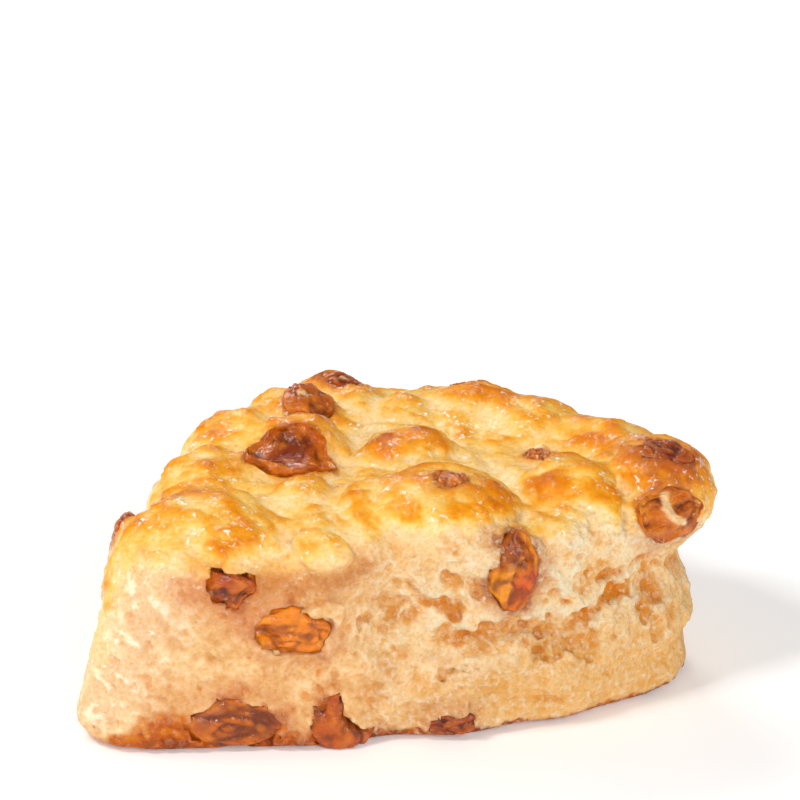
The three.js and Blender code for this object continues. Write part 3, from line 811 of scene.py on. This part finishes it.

    # the smooth side, with a painted highlight of the glaze streaked along the left shoulder
    # the side's mottle is its own uneven tone, with a little painted shade in dips and painted light on rises
    mottle = 0.5 * fuzz(x, y, z, 3.4) + 0.45 * grit + 0.4 * fine + 0.25 * close
    plain = ramp(mottle, SIDE_STOPS)
    # painted shade in the pores of the smooth side
    plain = mix(plain, PIT_SHADE_PAINT, 0.6 * pores)
    # painted highlight: streaks along the left shoulder are lightened
    shoulder = (face + left) * smooth(-38, -52, x - 0.4 * z) * smooth(1, 8, z)
    shine = noise(x / 2.4 + 0.5 * z, y / 2.4, z / 7) + 0.8 * grit + 0.5 * fine
    plain = mix(plain, SHOULDER_HIGHLIGHT_PAINT, shoulder * (0.3 + 0.7 * smooth(0.1, 0.8, shine)))
    crumb = mix(plain, crumb, np.where(crust < 1, torn / np.maximum(1 - crust, 1e-3), 0))

    colour = mix(crumb, toast, crust)

    # syrup round the raisins, and the painted shadow under the lip
    soak = 0
    for at, half, strength in SOAKS:
        soak = soak + strength * hump(np.linalg.norm((p - np.array(at)) / half, axis=1), 0, 1)
    halo = raisin_gap + fuzz(x, y, z, 2.4) + 0.5 * grit
    stain = smooth(4.2, -0.2, halo) * 0.6 + soak * (0.8 + 0.7 * grit + 0.5 * fine)
    colour = mix(colour, SYRUP, np.clip(stain * (1 - 0.6 * crust), 0, 0.85))
    colour = mix(colour, SYRUP_DARK, 0.65 * smooth(0.9, -0.1, halo))
    # painted shadow cast by the lip over the front
    painted_tongue_shadow = along_chains(TONGUE_SHADE, x, y, z)
    painted_tongue_shadow = painted_tongue_shadow + 0.3 * grit * (painted_tongue_shadow > 0.1)
    colour = mix(colour, TONGUE_SHADOW_PAINT, 0.8 * np.clip(painted_tongue_shadow, 0, 1))

    # the browned foot and the underside
    charred = fuzz(x, y, z, 4.0) + 0.6 * grit + 0.5 * fine - 0.5 * smooth(1.0, 4.5, z)
    colour = mix(colour, ramp(charred, BASE_STOPS), 0.92 * base)
    bottom = noise(x / 7, y / 7, 1.0) + 0.4 * noise(x / 2, y / 2, 0.0)
    colour = mix(colour, ramp(bottom, UNDERSIDE_STOPS), smooth(0.5, 0.05, z))

    brushed = smooth(-0.5, 0.5, streaks + 0.6 * fuzz(x, y, z, 5.0))
    glaze = np.clip(crust * (0.3 + 0.7 * brushed), 0, 1)
    glaze = np.maximum(glaze, 0.9 * shoulder * brushed)
    grain = np.clip(torn + 0.25 * (1 - crust), 0, 1)
    return relief, colour, glaze, grain


def give_colour(mesh, name, values):
    """Keeps three values of each point as a colour attribute."""
    layer = mesh.attributes.new(name, "FLOAT_COLOR", "POINT")
    flat = np.ones((len(values), 4), dtype=np.float32)
    flat[:, :3] = values
    layer.data.foreach_set("color", flat.ravel())


def make_mesh(name, points, faces):
    """A smooth shaded piece from points in the photo's frame."""
    mesh = bpy.data.meshes.new(name)
    mesh.from_pydata(((points - MIDDLE) * MM).tolist(), [], faces)
    mesh.validate()
    mesh.update()
    mesh.shade_smooth()
    piece = bpy.data.objects.new(name, mesh)
    bpy.context.scene.collection.objects.link(piece)
    return piece


def unit_ball(cuts):
    """Corners and triangles of a finely cut ball."""
    bm = bmesh.new()
    bmesh.ops.create_icosphere(bm, subdivisions=cuts, radius=1)
    points = np.array([v.co[:] for v in bm.verts])
    faces = [[v.index for v in f.verts] for f in bm.faces]
    bm.free()
    return points / np.linalg.norm(points, axis=1, keepdims=True), faces


# a raisin's skin; the fold colours are painted shade, the crest colours painted light and its paler spots
DARK_SKIN = linear((172, 70, 12))
DARK_FOLD_SHADE = linear((78, 18, 4))
DARK_SPOT_AND_CREST_LIGHT = linear((214, 120, 30))
AMBER_SKIN = linear((232, 130, 10))
AMBER_FOLD_SHADE = linear((172, 70, 8))
AMBER_SPOT_AND_CREST_LIGHT = linear((246, 176, 60))
RIM_AMBER = linear((206, 108, 20))
RESIDUE = linear((240, 196, 140))

# parts of raisins with a colour of their own: middle, reach, colour, strength
RAISIN_TINTS = [
    ((16.2, -25.4, 27.2), 3.6, linear((238, 150, 24)), 0.8),
    ((21.6, -23.6, 27.0), 2.9, linear((206, 70, 8)), 0.9),
    ((20.4, -24.4, 24.0), 2.4, linear((214, 92, 10)), 0.7),
    ((18.4, -24.0, 34.0), 3.2, linear((140, 60, 16)), 0.8),
    ((-18.4, 6.6, 40.4), 5.4, linear((124, 26, 6)), 0.85),
    ((-18.4, 0.6, 38.2), 2.6, linear((204, 104, 20)), 0.6),
    ((-12.2, 4.4, 39.6), 2.6, linear((196, 100, 22)), 0.6),
    ((-24.6, 5.4, 39.6), 2.0, linear((190, 90, 18)), 0.5),
    ((-13.0, -31.0, 3.0), 2.6, linear((196, 86, 18)), 0.6),
    ((-22.4, -31.6, 19.0), 2.2, linear((236, 150, 34)), 0.5),
    ((-31.4, -31.6, 7.6), 3.0, linear((150, 84, 60)), 0.6),
    ((45.6, -11.4, 28.6), 3.0, linear((190, 90, 20)), 0.6),
]


RAISIN_LOWEST = 0.02    # how far the raisins at the foot stay off the floor
DEEPEST_SHOWN = -2.5    # the parts of a raisin that lie deeper in the dough aren't pressed


def plump(v):
    """Rounded swellings with sharp folds between them, from -1 to 1."""
    return 2.0 * np.abs(v) ** 0.6 - 1


def make_raisin(name, ball, faces, material):
    """A wrinkled raisin, pressed down to the dough where it stands too far out of it."""
    at, half, tilt, turn, taper = RAISINS[name]
    seed = np.array(at)
    bend = np.stack([noise(*(1.7 * ball.T + seed[:, None] + k)) for k in (0, 11, 23)], 1)
    bx, by, bz = (ball + 0.3 * bend).T
    wide = plump(fuzz(1.3 * bx + seed[0], 1.9 * by + seed[1], 1.9 * bz + seed[2], 1.0))
    narrow = plump(fuzz(2.6 * bx + seed[1], 4.0 * by + seed[2], 4.0 * bz + seed[0], 1.0))
    wrinkle = 0.62 * wide + 0.38 * narrow
    tiny = fuzz(bx + seed[1], by, bz, 0.16)
    size = raisin_size(ball, at) + 0.05 * wrinkle + 0.01 * tiny
    if name in DIMPLES:
        way, deep, wide_share = DIMPLES[name]
        way = np.array(way) / np.linalg.norm(way)
        size = size - deep * hump(np.linalg.norm(ball - way, axis=1), 0, wide_share)
    p = ball * size[:, None]
    p[:, 0] *= 1 - taper * ball[:, 2]
    p = p * np.array(half) @ raisin_axes(tilt, turn).T + np.array(at)
    p[:, 2] = np.maximum(p[:, 2], RAISIN_LOWEST)
    outside = form_distance(*p.T)
    open_share = np.zeros(len(p))
    pressed = along_chains(RAISIN_FOLDS, *p.T)
    shown = np.flatnonzero(outside > DEEPEST_SHOWN)
    if len(shown):
        middle, edge = LIFT.get(name, USUAL_LIFT)
        open_share[shown] = smooth(0.0, 0.75 * max(outside.max(), 0.5), outside[shown])
        height, way = slopes(form_distance, p[shown])
        way /= np.linalg.norm(way, axis=1, keepdims=True)
        detail = 0.5 * wrinkle[shown] + 0.1 * tiny[shown] - pressed[shown]
        hidden = smooth(0.6, 1.0, covered(*p[shown].T))
        limit = edge + (middle - edge) * open_share[shown] + detail - 2.0 * hidden
        drop = np.maximum(height - limit, 0)
        drop = drop - 0.12 * np.minimum(drop, 1.5)
        p[shown] -= way * drop[:, None]
    p[:, 2] = np.maximum(p[:, 2], RAISIN_LOWEST)
    piece = make_mesh("skin_" + name, p, faces)

    amber = np.clip(AMBER.get(name, 0.0) + 0.3 * fuzz(*p.T, 2.6), 0, 1)
    # painted shade in the raisin's folds and painted light on its crests; the paler spots are its own mottle
    fold = np.clip(1.1 * wrinkle - 0.8 * pressed + 0.35 * tiny, -1, 1)
    skin = mix(DARK_SKIN, AMBER_SKIN, amber)
    for spot, reach, tint, strength in RAISIN_TINTS:
        away = np.linalg.norm(p - np.array(spot), axis=1) + 0.5 * fuzz(*p.T, 1.5)
        skin = mix(skin, tint, strength * smooth(1.2 * reach, 0.6 * reach, away))
    dark = mix(0.42 * skin, mix(DARK_FOLD_SHADE, AMBER_FOLD_SHADE, amber), 0.5)
    light = mix(skin, mix(DARK_SPOT_AND_CREST_LIGHT, AMBER_SPOT_AND_CREST_LIGHT, amber), 0.5)
    colour = mix(skin, dark, smooth(0.1, -0.7, fold))
    colour = mix(colour, light, 0.8 * smooth(0.2, 0.8, fold))
    spots = smooth(0.15, 0.6, fuzz(*p.T, 1.9) + 0.3 * tiny)
    colour = mix(colour, light, 0.6 * spots)
    rim = smooth(0.45, 0.0, open_share) * smooth(-0.6, 0.5, fuzz(*p.T, 1.7) + 0.2)
    colour = mix(colour, RIM_AMBER, 0.5 * rim)
    crumbs = along_chains(seen_flat(RESIDUE_CHAINS), *flattened(p).T) + 0.3 * fuzz(*p.T, 1.0)
    colour = mix(colour, RESIDUE, smooth(0.35, 0.7, crumbs))
    give_colour(piece.data, "tint", colour)
    piece.data.materials.append(material)
    return piece


# The materials.
def node(tree, kind, **values):
    """A new node with settings and values of its inputs."""
    made = tree.nodes.new(kind)
    for key, value in values.items():
        if hasattr(made, key) and key not in made.inputs:
            setattr(made, key, value)
        else:
            made.inputs[key].default_value = value
    return made


def textures(tree, **settings):
    """Noise textures in the frame of the piece: scale, detail, roughness, distortion."""
    place = tree.nodes.new("ShaderNodeTexCoord")
    made = []
    for scale, detail, roughness, distortion in settings.values():
        texture = node(
            tree, "ShaderNodeTexNoise", Scale=scale, Detail=detail, Roughness=roughness, Distortion=distortion
        )
        tree.links.new(place.outputs["Object"], texture.inputs["Vector"])
        made.append(texture.outputs["Fac"])
    return made


def ranged(tree, source, low, high, low_result=0.0, high_result=1.0):
    """The results for values of the source from low to high."""
    made = tree.nodes.new("ShaderNodeMapRange")
    limits = (low, high, low_result, high_result)
    for socket, value in zip(("From Min", "From Max", "To Min", "To Max"), limits):
        made.inputs[socket].default_value = value
    tree.links.new(source, made.inputs["Value"])
    return made.outputs["Result"]


def product(tree, a, b):
    made = node(tree, "ShaderNodeMath", operation="MULTIPLY")
    tree.links.new(a, made.inputs[0])
    tree.links.new(b, made.inputs[1])
    return made.outputs["Value"]


def mixed(tree, way, factor, a, b):
    """A mix of two colours. Each of factor, a and b is a socket or a value."""
    made = tree.nodes.new("ShaderNodeMix")
    made.data_type = "RGBA"
    made.blend_type = way
    for socket, value in (("Factor", factor), ("A", a), ("B", b)):
        if isinstance(value, bpy.types.NodeSocket):
            tree.links.new(value, made.inputs[socket])
        else:
            made.inputs[socket].default_value = value
    return made.outputs["Result"]


def bumped(tree, height, strength, distance, under=None):
    """A normal with relief of a given depth in metres, over another normal if there is one."""
    made = node(tree, "ShaderNodeBump", Strength=strength, Distance=distance)
    tree.links.new(height, made.inputs["Height"])
    if under is not None:
        tree.links.new(under, made.inputs["Normal"])
    return made.outputs["Normal"]


def new_material(name):
    """A material, its nodes and its shader."""
    made = bpy.data.materials.new(name)
    made.use_nodes = True
    return made, made.node_tree, made.node_tree.nodes["Principled BSDF"]


def set_values(shader, **values):
    for key, value in values.items():
        shader.inputs[key.replace("_", " ")].default_value = value


def dough_material():
    material, tree, shader = new_material("scone_dough")
    link = tree.links.new
    tint = node(tree, "ShaderNodeAttribute", attribute_name="tint").outputs["Color"]
    skin = node(tree, "ShaderNodeAttribute", attribute_name="skin").outputs["Color"]
    parts = tree.nodes.new("ShaderNodeSeparateColor")
    link(skin, parts.inputs["Color"])
    glaze = parts.outputs["Red"]
    grain = parts.outputs["Green"]
    speck, crumb, sugar, dabs = textures(
        tree,
        speck=(1500.0, 4.0, 0.6, 0.0),
        crumb=(900.0, 5.0, 0.65, 0.0),
        sugar=(1050.0, 2.0, 0.5, 0.0),
        dabs=(420.0, 2.0, 0.6, 0.0),
    )

    # warm specks, then pale grains of the crumb, then painted glints: pale flecks where the glaze lies,
    # standing in for its highlights
    warm = mixed(tree, "MULTIPLY", 1.0, tint, (0.92, 0.7, 0.42, 1))
    colour = mixed(tree, "MIX", ranged(tree, speck, 0.46, 0.68, 0.0, 0.8), tint, warm)
    grains = product(tree, ranged(tree, crumb, 0.5, 0.72, 0.0, 0.7), grain)
    colour = mixed(tree, "MIX", grains, colour, (1.0, 0.88, 0.68, 1))
    gloss = product(tree, glaze, ranged(tree, dabs, 0.45, 0.58))
    # painted glints of the glaze; the same noise also gives the bumps
    painted_glints = product(tree, ranged(tree, sugar, 0.6, 0.68), gloss)
    colour = mixed(tree, "MIX", painted_glints, colour, (1.0, 0.93, 0.76, 1))
    link(colour, shader.inputs["Base Color"])

    link(ranged(tree, glaze, 0.0, 1.0, 0.8, 0.42), shader.inputs["Roughness"])
    link(gloss, shader.inputs["Coat Weight"])
    set_values(
        shader,
        Coat_Roughness=0.12,
        Subsurface_Weight=0.1,
        Subsurface_Radius=(1.0, 0.55, 0.25),
        Subsurface_Scale=0.0012,
        Specular_IOR_Level=0.08,
    )
    rough = bumped(tree, product(tree, crumb, grain), 0.9, 0.0011)
    link(bumped(tree, sugar, 0.5, 0.0003, rough), shader.inputs["Normal"])
    link(bumped(tree, sugar, 1.0, 0.0006), shader.inputs["Coat Normal"])
    return material


def raisin_material(name, subsurface):
    material, tree, shader = new_material(name)
    link = tree.links.new
    tint = node(tree, "ShaderNodeAttribute", attribute_name="tint").outputs["Color"]
    mottle, wrinkle = textures(tree, mottle=(700.0, 4.0, 0.6, 0.0), wrinkle=(800.0, 3.0, 0.55, 0.8))
    colour = mixed(tree, "MULTIPLY", 1.0, tint, ranged(tree, mottle, 0.3, 0.7, 0.75, 1.2))
    link(colour, shader.inputs["Base Color"])
    link(ranged(tree, wrinkle, 0.0, 1.0, 0.35, 0.6), shader.inputs["Roughness"])
    set_values(
        shader,
        Coat_Weight=0.75,
        Coat_Roughness=0.09,
        Specular_IOR_Level=0.03,
        Subsurface_Weight=subsurface,
        Subsurface_Radius=(1.0, 0.35, 0.08),
        Subsurface_Scale=0.0015,
    )
    link(bumped(tree, wrinkle, 0.8, 0.0006), shader.inputs["Normal"])
    link(bumped(tree, wrinkle, 0.8, 0.0004), shader.inputs["Coat Normal"])
    return material


# The scone.
WIDE_RING = 4.5         # radius of the rings on which it is measured how far a point stands out
NEAR_RING = 1.5
BALL_CUTS = 5           # how often the ball that a raisin is made from is cut finer
AMBER_RAISINS = ("raisin_left_face_gold", "raisin_torn_amber")

skin_points, skin_faces = dough_skin()
_, gradient = slopes(dough_distance, skin_points)
normals = gradient / np.linalg.norm(gradient, axis=1, keepdims=True)
wide_rise = ring_rise(dough_distance, skin_points, normals, WIDE_RING)
near_rise = ring_rise(dough_distance, skin_points, normals, NEAR_RING)
gap = ragged_gap(*skin_points.T)
relief, colour, glaze, grain = dough_looks(skin_points, normals, wide_rise, near_rise, gap)
skin_points = skin_points + normals * relief[:, None]
skin_points[:, 2] = np.maximum(skin_points[:, 2], 0)

dough = make_mesh("skin_dough", skin_points, skin_faces)
give_colour(dough.data, "tint", colour)
give_colour(dough.data, "skin", np.stack([glaze, grain, np.zeros(len(glaze))], 1))
dough.data.materials.append(dough_material())
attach(dough, "root")
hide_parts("dough")

ball, ball_faces = unit_ball(BALL_CUTS)
amber_skin = raisin_material("raisin_amber_skin", 0.35)
dark_skin = raisin_material("raisin_dark_skin", 0.15)
for name in RAISINS:
    amber = name in AMBER_RAISINS
    raisin = make_raisin(name, ball, ball_faces, amber_skin if amber else dark_skin)
    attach(raisin, "root")
    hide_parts(name)

# The floor, the light and the camera.
FLOOR_REACH = 3.0       # metres
FLOOR_DROP = 0.00005    # keeps the floor clear of the underside
FLOOR_GLOW = (0.1, 0.28, 0.15, 0.5)     # from and to a distance in metres, the glow there
SKY_STRENGTH = 0.26
corners = [(-1, -1), (1, -1), (1, 1), (-1, 1)]
floor_mesh = bpy.data.meshes.new("floor")
floor_mesh.from_pydata([(FLOOR_REACH * i, FLOOR_REACH * j, 0) for i, j in corners], [], [(0, 1, 2, 3)])
floor = bpy.data.objects.new("floor", floor_mesh)
floor.location.z = -FLOOR_DROP
bpy.context.scene.collection.objects.link(floor)
floor_material, floor_nodes, floor_shader = new_material("pale_floor")
set_values(
    floor_shader,
    Base_Color=(0.97, 0.97, 0.97, 1),
    Roughness=0.9,
    Emission_Color=(1, 1, 1, 1),
    Specular_IOR_Level=0.1,
)
floor_place = floor_nodes.nodes.new("ShaderNodeTexCoord")
floor_away = node(floor_nodes, "ShaderNodeVectorMath", operation="LENGTH")
floor_nodes.links.new(floor_place.outputs["Object"], floor_away.inputs[0])
floor_glow = ranged(floor_nodes, floor_away.outputs["Value"], *FLOOR_GLOW)
floor_nodes.links.new(floor_glow, floor_shader.inputs["Emission Strength"])
floor_mesh.materials.append(floor_material)

world = bpy.data.worlds.new("studio")
bpy.context.scene.world = world
world.use_nodes = True
sky = world.node_tree.nodes["Background"]
sky.inputs["Color"].default_value = (0.98, 0.99, 1.0, 1)
sky.inputs["Strength"].default_value = SKY_STRENGTH

LAMP_AIM = (0.0, 0.0, 0.02)     # metres


def area_light(name, place, size, power, colour):
    """A soft square lamp that faces the scone."""
    data = bpy.data.lights.new(name, "AREA")
    data.shape = "SQUARE"
    data.size = size
    data.energy = power
    data.color = colour
    lamp = bpy.data.objects.new(name, data)
    lamp.location = place
    way = np.array(LAMP_AIM) - np.array(place)
    pitch = math.atan2(math.hypot(way[0], way[1]), -way[2])
    turn = math.atan2(way[1], way[0]) - math.pi / 2
    lamp.rotation_euler = (pitch, 0, turn)
    bpy.context.scene.collection.objects.link(lamp)


area_light("key", (-0.5, -0.3, 0.8), 0.2, 3.7, (1.0, 0.99, 0.975))
area_light("box_left", (-0.85, 0.1, 0.3), 0.26, 1.9, (1.0, 1.0, 1.0))
area_light("box_rear", (-0.2, 0.7, 0.6), 0.3, 2.4, (1.0, 1.0, 1.0))
area_light("fill", (0.45, -0.9, 0.55), 0.5, 5.1, (1.0, 0.995, 0.985))
area_light("glint", (0.1, -0.85, 0.32), 0.1, 0.9, (1.0, 1.0, 1.0))

CAMERA_PLACE = (-0.057, -605.45, 282.38)
LENS = 171.11
SENSOR = 36.0
camera_data = bpy.data.cameras.new("photo_camera")
camera_data.lens = LENS
camera_data.sensor_width = SENSOR
camera = bpy.data.objects.new("photo_camera", camera_data)
camera.location = [v * MM for v in CAMERA_PLACE]
camera.rotation_euler = (math.atan2(VIEW_WAY[1], -VIEW_WAY[2]), 0, 0)
bpy.context.scene.collection.objects.link(camera)
bpy.context.scene.camera = camera
bpy.context.scene.view_settings.view_transform = "Standard"
